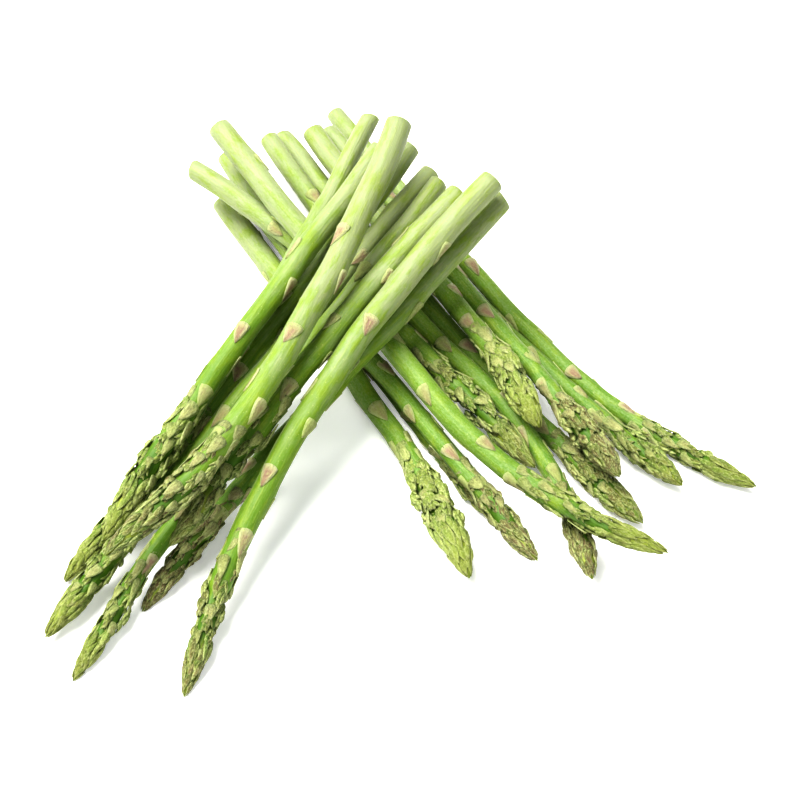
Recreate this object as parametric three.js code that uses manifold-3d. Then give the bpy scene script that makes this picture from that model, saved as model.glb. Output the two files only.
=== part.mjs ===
// A bunch of fresh green asparagus: cut spears that lie in two crossed handfuls, one over the other.
// A spear grew as one piece, a tapering stem with scale leaves up its length and a head of buds on top,
// so each spear is one closed solid. Nothing ties the bunch: the spears rest on each other and on z = 0.
// Millimetres, +Z up. The origin is on the surface, under the middle of the bunch's bounding box.
import * as THREE from "three";
import { mergeVertices } from "three/addons/utils/BufferGeometryUtils.js";
import Module from "manifold-3d";

const wasm = await Module();
wasm.setup();

// The spears of each handful, in the order in which they are laid down. A spear runs from its cut end,
// the butt, along a heading in degrees, for its reach over the surface. bow is how far its middle stands
// to the left of that line, and hook how far its tip does. thick is the stem's diameter at the butt, head
// and wide are the length and the full width of the head, and open runs from 0, a tight pointed head,
// to 1, a loose one whose buds stand apart. finish names its colour.
const LOWER_HANDFUL = [
  { butt: [-66, 90], heading: -60, reach: 192, bow: 1, hook: -8,
    thick: 8.6, head: 54, wide: 14.5, open: 0.15, finish: "bright_green" },
  { butt: [-54, 98], heading: -60, reach: 181, bow: -4, hook: 0,
    thick: 7.5, head: 38, wide: 10, open: 0.2, finish: "deep_green" },
  { butt: [-65, 108], heading: -58, reach: 216, bow: -6, hook: -5,
    thick: 7.6, head: 40, wide: 10.5, open: 0.3, finish: "olive_green" },
  { butt: [-25, 136], heading: -55, reach: 229, bow: -4, hook: 18,
    thick: 7, head: 46, wide: 10.5, open: 0.4, finish: "bright_green" },
  { butt: [-45, 124], heading: -55, reach: 221, bow: -4, hook: 0,
    thick: 8, head: 42, wide: 12.5, open: 0.25, finish: "olive_green" },
  { butt: [-49, 117], heading: -52, reach: 226, bow: -11, hook: -34,
    thick: 7.6, head: 34, wide: 11, open: 0.2, finish: "olive_green" },
  { butt: [-76, 90], heading: -47, reach: 177, bow: 7, hook: 2,
    thick: 7.8, head: 60, wide: 12.5, open: 0.9, finish: "bright_green" },
  { butt: [-26, 116], heading: -53, reach: 200, bow: -3, hook: 2,
    thick: 7, head: 34, wide: 11, open: 0.3, finish: "deep_green" },
  { butt: [-28, 120], heading: -58, reach: 195, bow: 0, hook: -2,
    thick: 7.4, head: 40, wide: 12.5, open: 0.4, finish: "deep_green" },
  { butt: [-33, 114], heading: -57, reach: 163, bow: -3, hook: -10,
    thick: 8.6, head: 42, wide: 13.5, open: 0.05, finish: "pale_green" },
  { butt: [-66, 102], heading: -57, reach: 235, bow: 0, hook: 31,
    thick: 9, head: 46, wide: 10.5, open: 0.5, finish: "pale_green" },
];
const UPPER_HANDFUL = [
  { butt: [4, 74], heading: -128, reach: 164, bow: 1, hook: 4,
    thick: 8.2, head: 44, wide: 10.5, open: 0.4, finish: "bright_green" },
  { butt: [-10, 86], heading: -122, reach: 193, bow: 7, hook: 1,
    thick: 7, head: 44, wide: 10.5, open: 0.3, finish: "pale_green" },
  { butt: [37, 51], heading: -133, reach: 186, bow: 1, hook: 6,
    thick: 8, head: 44, wide: 10, open: 0.5, finish: "deep_green" },
  { butt: [11, 67], heading: -127, reach: 211, bow: -1, hook: 0,
    thick: 7.8, head: 48, wide: 11, open: 0.35, finish: "pale_green" },
  { butt: [14, 59], heading: -126, reach: 212, bow: -1, hook: 6,
    thick: 7.2, head: 44, wide: 9.5, open: 0.7, finish: "bright_green" },
  { butt: [21, 51], heading: -126, reach: 160, bow: -5, hook: -3,
    thick: 8.8, head: 64, wide: 12, open: 1, finish: "bright_green" },
  { butt: [32, 48], heading: -122, reach: 198, bow: -12, hook: 4,
    thick: 9.4, head: 48, wide: 11, open: 0.6, finish: "bright_green" },
  { butt: [-6, 67], heading: -124, reach: 167, bow: -1, hook: 2,
    thick: 8.6, head: 54, wide: 12.5, open: 0.3, finish: "bright_green" },
  { butt: [0, 70], heading: -119, reach: 182, bow: 8, hook: -9,
    thick: 9.8, head: 52, wide: 12, open: 0.1, finish: "pale_green" },
];
const COLOURS = { bright_green: 0x86b43c, pale_green: 0xb4cf72, deep_green: 0x5f8c33, olive_green: 0x7c8a45 };
const ROUGHNESS = 0.5;
const MIDDLE = [3, 7]; // of the bunch's bounding box, in the frame of the butts' places

// Stem
const STEM_SIDES = 9;
const STEM_STEPS = 7;
const STEM_TAPER = 0.2; // share of its thickness that a stem loses from butt to tip
const BUTT_EDGE = 0.6; // worn edge of the cut face
const HOOK_START = 0.6; // share of the reach after which a stem may hook

// Head: half its width over the scales, from the neck to the tip, as shares of its length and half width.
// Up to SWELL_END the second number is the share of the swelling from the stem to the full width.
const HEAD_OUTLINE = [
  [0, 0],
  [0.12, 0.55],
  [0.3, 1],
  [0.5, 0.98],
  [0.7, 0.8],
  [0.85, 0.55],
  [0.95, 0.3],
  [1, 0.12],
];
const SWELL_END = 0.3;
const CORE_TIGHT = 0.84; // core under the scales as a share of the outline, in a tight head
const CORE_OPEN = 0.68; // the same in a loose head

// Scale leaves: they stand round the stem by the golden angle, closer and closer towards the tip
const GOLDEN_ANGLE = 137.5;
const FIRST_SCALE = 2.5; // the first one's distance from the tip
const FIRST_STEP = 1.2; // distance from the first to the second
const STEP_GROWTH = 1.115; // each next distance as a share of the last
const BARE_BUTT = 20; // no scale leaf is nearer to the cut end
const SCALE_LONG = [6, 12]; // length of a head's scales, at the tip and at the neck
const BRACT_LONG = 13; // length of a stem's scale leaves
const SCALE_BREADTH = 1.7; // breadth round the core, as a share of the core's radius
const EDGE_DEPTH = 0.4; // how far a scale's edges are sunk
const TIP_SHARE = 0.6; // share of a scale that lies ahead of its widest place
const BRACT_RISE = 0.5; // how far the tip of a stem's scale leaf stands off
const HEEL_RISE = 0.5; // rise of a scale's heel in a head, as a share of its tip's
const BRACT_HEEL = -0.4; // the same on the stem, where the heel is sunk
const SCATTER = 16; // degrees over which the scales leave their regular places
const SCATTER_SEED = 7;

// Rest
const GAP = 0.35; // clear space left between spears
const BRACT_ROOM = 0.35; // room kept round a stem for its scale leaves
const SINK = 0.3; // depth of the flat that a stem lies on
const HEAD_SINK = 0.9; // how far the scales of a head are pressed flat
const BALANCE = 0.45; // share of the reach at which a spear balances
const SAG_START = 0.5; // share of the reach after which a spear droops under its own weight
const SAG_MOST = 12; // the most that a tip droops
const SAG_SHARE = 0.02; // places that droop by less than this share of the tip's sag don't stop it
const REST_STEPS = 64;
const FLOOR_SPAN = 900;
const FLOOR_DEPTH = 40;

const degrees = THREE.MathUtils.degToRad;
const mix = THREE.MathUtils.lerp;
const limit = THREE.MathUtils.clamp;

// A repeatable run of numbers between 0 and 1.
function scatterFrom(seed) {
  let state = seed;
  return () => {
    state = (state * 16807) % 2147483647;
    return state / 2147483647;
  };
}

// The value of an outline of [place, value] pairs at a place.
function valueAt(outline, place) {
  const i = limit(outline.findIndex((p) => p[0] >= place), 1, outline.length - 1);
  const [[from, a], [to, b]] = [outline[i - 1], outline[i]];
  return mix(a, b, limit((place - from) / (to - from), 0, 1));
}

function stemRadius(spear, t) {
  return (spear.thick / 2) * (1 - STEM_TAPER * t);
}

// How far along its head a place on the spear is: 0 or less on the stem, 1 at the tip.
function alongHead(spear, t) {
  return 1 - ((1 - t) * spear.reach) / spear.head;
}

// Half width of the spear over its scales at t, which runs from 0 at the butt to 1 at the tip.
function outerRadius(spear, t) {
  const k = alongHead(spear, t);
  if (k <= 0) return stemRadius(spear, t) + BRACT_ROOM;
  const neck = stemRadius(spear, 1 - spear.head / spear.reach) + BRACT_ROOM;
  const share = valueAt(HEAD_OUTLINE, k);
  return k < SWELL_END ? mix(neck, spear.wide / 2, share) : (spear.wide / 2) * share;
}

// The solid core that the scales stand on.
function coreRadius(spear, t) {
  const k = alongHead(spear, t);
  if (k <= 0) return stemRadius(spear, t);
  const full = outerRadius(spear, t) * mix(CORE_TIGHT, CORE_OPEN, spear.open);
  const neck = stemRadius(spear, 1 - spear.head / spear.reach);
  return k < SWELL_END ? mix(neck, full, k / SWELL_END) : full;
}

// The spear's line over the surface.
function planAt(spear, t) {
  const heading = degrees(spear.heading);
  const late = Math.max(0, (t - HOOK_START) / (1 - HOOK_START));
  const side = spear.bow * 4 * t * (1 - t) + spear.hook * late * late;
  const ahead = spear.reach * t;
  return new THREE.Vector2(
    spear.butt[0] + Math.cos(heading) * ahead - Math.sin(heading) * side,
    spear.butt[1] + Math.sin(heading) * ahead + Math.cos(heading) * side,
  );
}

// How much of the tip's sag a place has.
function sagShare(t) {
  const late = Math.max(0, (t - SAG_START) / (1 - SAG_START));
  return late * late;
}

// The height of the spear's line.
function heightAt(spear, t) {
  return mix(spear.buttHeight, spear.tipHeight, t) - spear.sag * sagShare(t);
}

// Lays a spear down: it sinks, straight, until it touches something on both sides of its balance, and its
// tip then sags as far as it can. Leaves a chain of round sections for the next spears to rest on.
function layDown(spear, laid) {
  const needs = [];
  spear.chain = [];
  for (let i = 0; i <= REST_STEPS; i++) {
    const t = i / REST_STEPS;
    const place = planAt(spear, t);
    const radius = outerRadius(spear, t);
    const onStem = alongHead(spear, t) <= 0;
    let need = onStem ? stemRadius(spear, t) - SINK : Math.max(SINK, radius - HEAD_SINK);
    for (const other of laid) {
      for (const link of other.chain) {
        const apart = radius + link.radius + GAP;
        const over = apart * apart - place.distanceToSquared(link.place);
        if (over > 0) need = Math.max(need, link.height + Math.sqrt(over));
      }
    }
    needs.push({ t, need });
    spear.chain.push({ place, radius });
  }
  let best = { height: -Infinity };
  for (const a of needs.filter((n) => n.t <= BALANCE)) {
    for (const b of needs.filter((n) => n.t > BALANCE)) {
      const slope = (b.need - a.need) / (b.t - a.t);
      const height = a.need + slope * (BALANCE - a.t);
      if (height > best.height) best = { height, slope };
    }
  }
  spear.buttHeight = best.height - best.slope * BALANCE;
  spear.tipHeight = best.height + best.slope * (1 - BALANCE);
  const room = needs
    .filter((n) => sagShare(n.t) > SAG_SHARE)
    .map((n) => (mix(spear.buttHeight, spear.tipHeight, n.t) - n.need) / sagShare(n.t));
  spear.sag = limit(Math.min(...room), 0, SAG_MOST);
  spear.chain.forEach((link, i) => {
    link.height = heightAt(spear, i / REST_STEPS);
  });
}

// Moves a straight spear, which stands on its butt along Z, onto its line in the bunch.
function bendOnto(spear, geometry) {
  const points = geometry.getAttribute("position");
  const at = (t) => {
    const plan = planAt(spear, t);
    return new THREE.Vector3(plan.x, plan.y, heightAt(spear, t));
  };
  const up = new THREE.Vector3(0, 0, 1);
  for (let i = 0; i < points.count; i++) {
    const t = points.getZ(i) / spear.reach;
    const centre = at(t);
    const ahead = at(t + 0.01).sub(at(t - 0.01)).normalize();
    const left = up.clone().cross(ahead).normalize();
    const over = ahead.clone().cross(left);
    centre.addScaledVector(left, points.getX(i)).addScaledVector(over, points.getY(i));
    points.setXYZ(i, centre.x, centre.y, centre.z);
  }
  return geometry;
}

function solidOf(geometry) {
  geometry.deleteAttribute("normal");
  geometry.deleteAttribute("uv");
  const merged = mergeVertices(geometry, 1e-4);
  return new wasm.Manifold(
    new wasm.Mesh({
      numProp: 3,
      vertProperties: merged.getAttribute("position").array,
      triVerts: new Uint32Array(merged.index.array),
    }),
  );
}

function geometryOf(solid) {
  const mesh = solid.getMesh();
  const geometry = new THREE.BufferGeometry();
  geometry.setAttribute("position", new THREE.BufferAttribute(mesh.vertProperties, 3));
  geometry.setIndex(new THREE.BufferAttribute(mesh.triVerts, 1));
  geometry.computeVertexNormals();
  return geometry;
}

// The stem with the head's core, from the cut face to the tip.
function stemGeometry(spear) {
  const neck = 1 - spear.head / spear.reach;
  const profile = [new THREE.Vector2(0, 0), new THREE.Vector2(stemRadius(spear, 0) - BUTT_EDGE, 0)];
  for (let i = 0; i < STEM_STEPS; i++) {
    const t = mix(BUTT_EDGE / spear.reach, neck, i / STEM_STEPS);
    profile.push(new THREE.Vector2(stemRadius(spear, t), t * spear.reach));
  }
  for (const [k] of HEAD_OUTLINE.slice(0, -1)) {
    const t = mix(neck, 1, k);
    profile.push(new THREE.Vector2(coreRadius(spear, t), t * spear.reach));
  }
  profile.push(new THREE.Vector2(0, spear.reach));
  return new THREE.LatheGeometry(profile, STEM_SIDES).rotateX(Math.PI / 2);
}

// How high a scale's free tip stands over the core at t.
function tipRise(spear, t) {
  if (alongHead(spear, t) <= 0) return BRACT_RISE;
  return Math.max(BRACT_RISE, outerRadius(spear, t) - coreRadius(spear, t));
}

// One scale leaf: a keeled, pointed blade with its heel and its edges sunk in the core and its tip free.
function scaleGeometry(spear, scale) {
  const blade = new THREE.TetrahedronGeometry(1);
  const points = blade.getAttribute("position");
  for (let i = 0; i < points.count; i++) {
    const onKeel = points.getZ(i) > 0;
    const first = points.getX(i) > 0;
    let ahead = scale.place;
    if (onKeel) ahead += first ? TIP_SHARE * scale.long : (TIP_SHARE - 1) * scale.long;
    const t = limit(ahead / spear.reach, 0, 1);
    const core = coreRadius(spear, t);
    let radius = core - EDGE_DEPTH;
    if (onKeel) radius = core + tipRise(spear, t) * (first ? 1 : scale.heel);
    let turn = scale.angle;
    if (!onKeel) turn += ((first ? 1 : -1) * scale.broad) / 2 / core;
    points.setXYZ(i, radius * Math.cos(turn), radius * Math.sin(turn), ahead);
  }
  return blade;
}

// The places and sizes of a spear's scale leaves, from the tip down.
function scaleLeaves(spear, scatter) {
  const scales = [];
  let fromTip = FIRST_SCALE;
  let step = FIRST_STEP;
  let angle = 360 * scatter();
  while (fromTip < spear.reach - BARE_BUTT) {
    const place = spear.reach - fromTip;
    const inHead = fromTip < spear.head;
    scales.push({
      place,
      angle: degrees(angle + SCATTER * (scatter() - 0.5)),
      long: inHead ? mix(...SCALE_LONG, fromTip / spear.head) : BRACT_LONG,
      broad: SCALE_BREADTH * coreRadius(spear, place / spear.reach),
      heel: inHead ? HEEL_RISE : BRACT_HEEL,
    });
    angle += GOLDEN_ANGLE;
    fromTip += step;
    step *= STEP_GROWTH;
  }
  return scales;
}

// One spear, with its lowest stretch worn flat where it lies on the surface.
function spearSolid(spear, scatter) {
  const pieces = [solidOf(bendOnto(spear, stemGeometry(spear)))];
  for (const scale of scaleLeaves(spear, scatter)) {
    pieces.push(solidOf(bendOnto(spear, scaleGeometry(spear, scale))));
  }
  const floor = new THREE.BoxGeometry(FLOOR_SPAN, FLOOR_SPAN, FLOOR_DEPTH).translate(0, 0, -FLOOR_DEPTH / 2);
  // The outer body alone: the small pockets that overlapping scales seal are filled.
  const bodies = wasm.Manifold.union(pieces).subtract(solidOf(floor)).decompose();
  return bodies.reduce((a, b) => (b.volume() > a.volume() ? b : a));
}

const bunch = new THREE.Group();
bunch.position.set(-MIDDLE[0], -MIDDLE[1], 0);
const laid = [];
const scatter = scatterFrom(SCATTER_SEED);
for (const [handful, spears] of [["lower", LOWER_HANDFUL], ["upper", UPPER_HANDFUL]]) {
  spears.forEach((spear, i) => {
    layDown(spear, laid);
    laid.push(spear);
    const color = COLOURS[spear.finish];
    const skin = new THREE.MeshStandardMaterial({ color, roughness: ROUGHNESS, metalness: 0 });
    const mesh = new THREE.Mesh(geometryOf(spearSolid(spear, scatter)), skin);
    mesh.name = `${handful}_spear_${i + 1}`;
    bunch.add(mesh);
  });
}

const asparagus = new THREE.Group();
asparagus.add(bunch);
export default asparagus;
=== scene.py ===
"""A bunch of fresh green asparagus: cut spears in two crossed handfuls, loose on a pale surface.

The surface, the light and the camera are in metres. A spear is in millimetres up to its last step, which sets
it down in metres.
"""
import math
import random

import bmesh
import bpy
import numpy as np
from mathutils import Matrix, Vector


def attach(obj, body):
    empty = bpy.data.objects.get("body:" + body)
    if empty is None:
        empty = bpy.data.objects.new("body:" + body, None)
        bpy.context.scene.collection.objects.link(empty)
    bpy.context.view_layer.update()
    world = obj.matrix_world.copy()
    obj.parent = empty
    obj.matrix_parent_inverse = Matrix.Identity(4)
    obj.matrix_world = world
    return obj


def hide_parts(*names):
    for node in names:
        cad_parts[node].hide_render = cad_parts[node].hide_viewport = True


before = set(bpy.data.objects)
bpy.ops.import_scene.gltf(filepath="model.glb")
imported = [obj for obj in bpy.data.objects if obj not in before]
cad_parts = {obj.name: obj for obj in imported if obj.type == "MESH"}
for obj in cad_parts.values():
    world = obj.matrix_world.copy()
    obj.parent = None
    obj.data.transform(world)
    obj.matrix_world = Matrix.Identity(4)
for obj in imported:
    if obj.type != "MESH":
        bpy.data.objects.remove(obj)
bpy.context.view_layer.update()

bpy.ops.object.select_all(action="DESELECT")

# ---- The surface, the light and the camera --------------------------------------------------------
# A matt white sweep, as under a product on a table. One broad window of light stands behind and above
# on the left. A weaker one in front and the white room fill the shadows softly.
SWEEP_SPAN = 3.0
SWEEP_CELLS = 4
SWEEP_DROP = 0.00005
SWEEP_WHITE = (0.95, 0.95, 0.945, 1)
GLOW_WHITE = (1, 1, 1, 1)
SWEEP_GLOW = 0.17
ROOM_WHITE = (0.96, 0.98, 1, 1)
ROOM_LIGHT = 0.24
ROOM_LOOK = 1.15


def fill_in(tree, node, inputs):
    """Gives the sockets of a node their links or their values."""
    for socket, value in dict(inputs).items():
        if isinstance(value, bpy.types.NodeSocket):
            tree.links.new(value, node.inputs[socket])
        else:
            node.inputs[socket].default_value = value


def node_of(tree, kind, inputs=(), **settings):
    node = tree.nodes.new(kind)
    for key, value in settings.items():
        setattr(node, key, value)
    fill_in(tree, node, inputs)
    return node


def worked_out(tree, operation, *values):
    return node_of(tree, "ShaderNodeMath", dict(enumerate(values)), operation=operation).outputs[0]


def new_material(name):
    material = bpy.data.materials.new(name)
    material.use_nodes = True
    tree = material.node_tree
    return material, tree, tree.nodes["Principled BSDF"]


def soft_window(name, place, size, power, tint):
    """A square softbox that looks at the bunch."""
    lamp = bpy.data.lights.new(name, "AREA")
    lamp.shape = "SQUARE"
    lamp.size = size
    lamp.energy = power
    lamp.color = tint
    stand = bpy.data.objects.new(name, lamp)
    stand.location = place
    stand.rotation_euler = (-Vector(place)).to_track_quat("-Z", "Y").to_euler()
    bpy.context.scene.collection.objects.link(stand)


bpy.ops.mesh.primitive_grid_add(x_subdivisions=SWEEP_CELLS, y_subdivisions=SWEEP_CELLS, size=SWEEP_SPAN,
                                location=(0, 0, -SWEEP_DROP))
sweep = bpy.context.object
sweep.name = "white_sweep"
sweep_paint, sweep_nodes, sweep_shader = new_material("white_sweep_paint")
sweep_seen = node_of(sweep_nodes, "ShaderNodeLightPath").outputs["Is Camera Ray"]
fill_in(sweep_nodes, sweep_shader, {
    "Base Color": SWEEP_WHITE,
    "Roughness": 0.9,
    "Specular IOR Level": 0.1,
    "Emission Color": GLOW_WHITE,
    "Emission Strength": worked_out(sweep_nodes, "MULTIPLY", sweep_seen, SWEEP_GLOW),
})
sweep.data.materials.append(sweep_paint)

room = bpy.data.worlds.new("white_room")
room.use_nodes = True
room_seen = node_of(room.node_tree, "ShaderNodeLightPath").outputs["Is Camera Ray"]
fill_in(room.node_tree, room.node_tree.nodes["Background"], {
    "Color": ROOM_WHITE,
    "Strength": worked_out(room.node_tree, "MULTIPLY_ADD", room_seen, ROOM_LOOK - ROOM_LIGHT, ROOM_LIGHT),
})
bpy.context.scene.world = room

soft_window("left_window", place=(-1.2, 0.5, 2.75), size=2.2, power=210, tint=(1, 0.985, 0.95))
soft_window("front_fill", place=(0.8, -1.8, 2.2), size=2.4, power=26, tint=(0.97, 0.99, 1))

CAMERA_ELEVATION = 52
CAMERA_DISTANCE = 0.95
CAMERA_AIM = (-0.003, -0.007, 0.0)
CAMERA_LENS = 122.1
raised = math.radians(CAMERA_ELEVATION)
lens = bpy.data.cameras.new("camera")
lens.lens = CAMERA_LENS
camera = bpy.data.objects.new("camera", lens)
back = Vector((0, -math.cos(raised), math.sin(raised)))
camera.location = Vector(CAMERA_AIM) + back * CAMERA_DISTANCE
camera.rotation_euler = (-back).to_track_quat("-Z", "Y").to_euler()
bpy.context.scene.collection.objects.link(camera)
bpy.context.scene.camera = camera
bpy.context.scene.view_settings.view_transform = "Standard"
bpy.context.scene.view_settings.look = "High Contrast"

# ---- How the spears lie ---------------------------------------------------------------------------
# Spears cut off above the ground and laid out by the handful. Nothing holds them: each one has sunk
# onto those laid before it, and its tip droops by its own weight.

# A spear runs from its cut end, the butt, along a heading in degrees, for its reach. bow is how far its
# middle stands to the left of that line, and hook how far its tip does. thick is the stem at the butt, head
# and wide are the head's length and full width, and open runs from a tight head, 0, to a loose one, 1.
# finish names its colour among those of the model. pale is how far up the skin stays light, and blush how
# purple and brown the scales are.
LOWER_HANDFUL = [
    dict(butt=(-66, 90), heading=-60, reach=192, bow=1, hook=-8, thick=8.6, head=54, wide=14.5,
         open=0.15, finish="bright_green", pale=0.3, blush=0.05),
    dict(butt=(-54, 98), heading=-60, reach=181, bow=-4, hook=0, thick=7.5, head=38, wide=10,
         open=0.2, finish="deep_green", pale=0.1, blush=0.45),
    dict(butt=(-65, 108), heading=-58, reach=216, bow=-6, hook=-5, thick=7.6, head=40, wide=10.5,
         open=0.3, finish="olive_green", pale=0.2, blush=0.8),
    dict(butt=(-25, 136), heading=-55, reach=229, bow=-4, hook=18, thick=7, head=46, wide=10.5,
         open=0.4, finish="bright_green", pale=0.1, blush=0.2),
    dict(butt=(-45, 124), heading=-55, reach=221, bow=-4, hook=0, thick=8, head=42, wide=12.5,
         open=0.25, finish="olive_green", pale=0.2, blush=0.5),
    dict(butt=(-49, 117), heading=-52, reach=226, bow=-11, hook=-34, thick=7.6, head=34, wide=11,
         open=0.2, finish="olive_green", pale=0.1, blush=0.85),
    dict(butt=(-76, 90), heading=-47, reach=177, bow=7, hook=2, thick=7.8, head=60, wide=12.5,
         open=0.9, finish="bright_green", pale=0.3, blush=0.35),
    dict(butt=(-26, 116), heading=-53, reach=200, bow=-3, hook=2, thick=7, head=34, wide=11,
         open=0.3, finish="deep_green", pale=0.1, blush=0.3),
    dict(butt=(-28, 120), heading=-58, reach=195, bow=0, hook=-2, thick=7.4, head=40, wide=12.5,
         open=0.4, finish="deep_green", pale=0.0, blush=0.75),
    dict(butt=(-33, 114), heading=-57, reach=163, bow=-3, hook=-10, thick=8.6, head=42, wide=13.5,
         open=0.05, finish="pale_green", pale=0.6, blush=0.0),
    dict(butt=(-66, 102), heading=-57, reach=235, bow=0, hook=31, thick=9, head=46, wide=10.5,
         open=0.5, finish="pale_green", pale=0.35, blush=0.05),
]
UPPER_HANDFUL = [
    dict(butt=(4, 74), heading=-128, reach=164, bow=1, hook=4, thick=8.2, head=44, wide=10.5,
         open=0.4, finish="bright_green", pale=0.4, blush=0.4),
    dict(butt=(-10, 86), heading=-122, reach=193, bow=7, hook=1, thick=7, head=44, wide=10.5,
         open=0.3, finish="pale_green", pale=0.3, blush=0.05),
    dict(butt=(37, 51), heading=-133, reach=186, bow=1, hook=6, thick=8, head=44, wide=10,
         open=0.5, finish="deep_green", pale=0.2, blush=1.0),
    dict(butt=(11, 67), heading=-127, reach=211, bow=-1, hook=0, thick=7.8, head=48, wide=11,
         open=0.35, finish="pale_green", pale=0.5, blush=0.15),
    dict(butt=(14, 59), heading=-126, reach=212, bow=-1, hook=6, thick=7.2, head=44, wide=9.5,
         open=0.7, finish="bright_green", pale=0.2, blush=0.2),
    dict(butt=(21, 51), heading=-126, reach=160, bow=-5, hook=-3, thick=8.8, head=64, wide=12,
         open=1, finish="bright_green", pale=0.4, blush=0.45),
    dict(butt=(32, 48), heading=-122, reach=198, bow=-12, hook=4, thick=9.4, head=48, wide=11,
         open=0.6, finish="bright_green", pale=0.5, blush=0.5),
    dict(butt=(-6, 67), heading=-124, reach=167, bow=-1, hook=2, thick=8.6, head=54, wide=12.5,
         open=0.3, finish="bright_green", pale=0.2, blush=0.12),
    dict(butt=(0, 70), heading=-119, reach=182, bow=8, hook=-9, thick=9.8, head=52, wide=12,
         open=0.1, finish="pale_green", pale=0.8, blush=0.55),
]
LOWER_WAX = 1.0
UPPER_WAX = 0.35
MIDDLE = (3, 7)
STEM_TAPER = 0.2
HOOK_START = 0.6
# How the head widens from the neck, at 0, to its full width, at 1, and then narrows to its tip.
HEAD_PLACES = [0, 0.12, 0.3, 0.5, 0.7, 0.85, 0.95, 1]
HEAD_WIDTHS = [0, 0.55, 1, 0.98, 0.8, 0.55, 0.3, 0.12]
SWELL_END = 0.3
BRACT_ROOM = 0.35
# How a spear rests: the gap to the next, how far it is pressed into the surface, and how its tip sags.
GAP = 0.35
SINK = 0.3
HEAD_SINK = 0.9
BALANCE = 0.45
SAG_START = 0.5
SAG_MOST = 12
SAG_SHARE = 0.02
REST_STEPS = 64


def mix(a, b, share):
    return a + (b - a) * share


def stem_radius(spear, t):
    return spear["thick"] / 2 * (1 - STEM_TAPER * t)


def along_head(spear, t):
    """0 or less on the stem, 1 at the tip."""
    return 1 - (1 - t) * spear["reach"] / spear["head"]


def outer_radius(spear, t):
    """Half width over the scales at t, which runs from 0 at the butt to 1 at the tip."""
    up_head = along_head(spear, t)
    neck = stem_radius(spear, 1 - spear["head"] / spear["reach"]) + BRACT_ROOM
    share = np.interp(up_head, HEAD_PLACES, HEAD_WIDTHS)
    full = spear["wide"] / 2
    head = np.where(up_head < SWELL_END, mix(neck, full, share), full * share)
    return np.where(up_head <= 0, stem_radius(spear, t) + BRACT_ROOM, head)


def plan_at(spear, t):
    """The spear's line over the surface."""
    heading = math.radians(spear["heading"])
    late = np.maximum(0, (t - HOOK_START) / (1 - HOOK_START))
    side = spear["bow"] * 4 * t * (1 - t) + spear["hook"] * late * late
    ahead = spear["reach"] * t
    x = spear["butt"][0] + math.cos(heading) * ahead - math.sin(heading) * side
    y = spear["butt"][1] + math.sin(heading) * ahead + math.cos(heading) * side
    return np.stack([x, y], axis=-1)


def sag_share(t):
    """How much of the tip's sag a place has."""
    return np.maximum(0, (t - SAG_START) / (1 - SAG_START)) ** 2


def height_at(spear, t):
    return mix(spear["butt_height"], spear["tip_height"], t) - spear["sag"] * sag_share(t)


def lay_down(spear, laid):
    """The spear sinks, straight, until it touches something on both sides of its balance, and its tip then
    sags as far as it can."""
    t = np.arange(REST_STEPS + 1) / REST_STEPS
    place = plan_at(spear, t)
    radius = outer_radius(spear, t)
    stem_lies = stem_radius(spear, t) - SINK
    head_lies = np.maximum(SINK, radius - HEAD_SINK)
    need = np.where(along_head(spear, t) <= 0, stem_lies, head_lies)
    for other in laid:
        apart = radius[:, None] + other["radius"][None, :] + GAP
        over = apart**2 - ((place[:, None] - other["place"][None, :]) ** 2).sum(axis=2)
        on_top = other["height"][None, :] + np.sqrt(np.maximum(over, 0))
        need = np.maximum(need, np.where(over > 0, on_top, 0).max(axis=1))
    near = t <= BALANCE
    far = t > BALANCE
    slope = (need[far][None, :] - need[near][:, None]) / (t[far][None, :] - t[near][:, None])
    height = need[near][:, None] + slope * (BALANCE - t[near][:, None])
    most = np.unravel_index(np.argmax(height), height.shape)
    spear["butt_height"] = height[most] - slope[most] * BALANCE
    spear["tip_height"] = height[most] + slope[most] * (1 - BALANCE)
    droops = sag_share(t) > SAG_SHARE
    room_below = mix(spear["butt_height"], spear["tip_height"], t[droops]) - need[droops]
    spear["sag"] = float(np.clip((room_below / sag_share(t[droops])).min(), 0, SAG_MOST))
    spear["place"] = place
    spear["radius"] = radius
    spear["height"] = height_at(spear, t)


spears = []
for handful, its_spears, waxy in (("lower", LOWER_HANDFUL, LOWER_WAX), ("upper", UPPER_HANDFUL, UPPER_WAX)):
    for number, spear in enumerate(its_spears, start=1):
        spear["node"] = f"{handful}_spear_{number}"
        spear["waxy"] = waxy
        lay_down(spear, spears)
        spears.append(spear)

# ---- The stem -------------------------------------------------------------------------------------
# Firm flesh in a smooth skin, faintly ribbed, pale at the butt and greener upwards, with a bloom of wax.
# It is cut off a little aslant at the butt, where its pale stringy flesh shows, and goes on under the scales
# of the head as a thin core to the very tip. One blank is made, and a copy of it shaped for each spear.
STEM_SIDES = 24
STEM_RINGS = 70
UPRIGHT = 0.5
CUT_INSETS = [0.14, 0.28, 0.28]
CUT_EDGE = 0.6
CUT_INSET = 0.36
CUT_HOLLOW = 0.25
SLANT_MOST = 0.45
AT_BUTT = 1e-6
INSIDE_RIM = 0.999
CORE_TIGHT = 0.7
CORE_OPEN = 0.46
CORE_TIP = 0.78
CORE_TIP_START = 0.66
CORE_TIP_BLEND = 0.14
CORE_END = 26
PHASE_SPAN = 6.28
RIBS = 7
RIB_TWIST = 2
BROAD_RIBS = 3
RIB_RELIEF = 0.011
JOINT_LONG = 3
JOINT_RISE = 0.45
BUTT_PINCH = 0.045
BUTT_LONG = 5
GRAIN_SHIFT = 900
SKIN_SLOT = 0
CUT_SLOT = 1

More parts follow.
